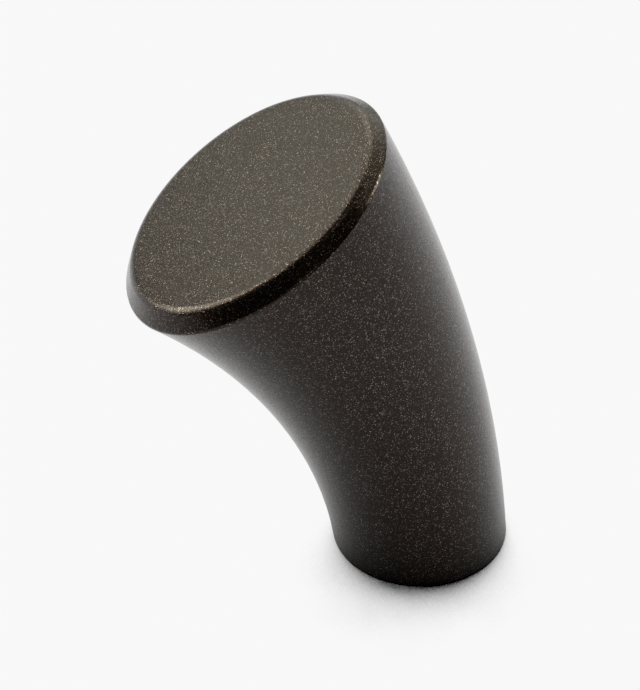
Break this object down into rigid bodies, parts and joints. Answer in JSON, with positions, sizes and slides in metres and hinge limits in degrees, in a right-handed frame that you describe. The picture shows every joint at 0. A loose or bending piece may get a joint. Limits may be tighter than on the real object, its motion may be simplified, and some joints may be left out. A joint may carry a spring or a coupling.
{
  "type": "cabinet knob",
  "caption": "Leaning horn-shaped cabinet knob with a tilted round face, a bevelled rim and a tapped foot for a screw from behind, in dark bronze metallic powder coat.",
  "frame": {"origin": "centre of the round foot, in the plane where it meets the door or drawer front", "axes": "+Z along the screw hole, away from the door or drawer front; the knob leans towards -X; XZ is its mirror plane"},
  "size_m": [0.0258, 0.0208, 0.034],
  "materials": {
    "bronze_powder_coat": "satin dark bronze powder coat with fine metallic flake"
  },
  "bodies": {
    "root": {"knob_body": "bronze_powder_coat"}
  },
  "joints": []
}
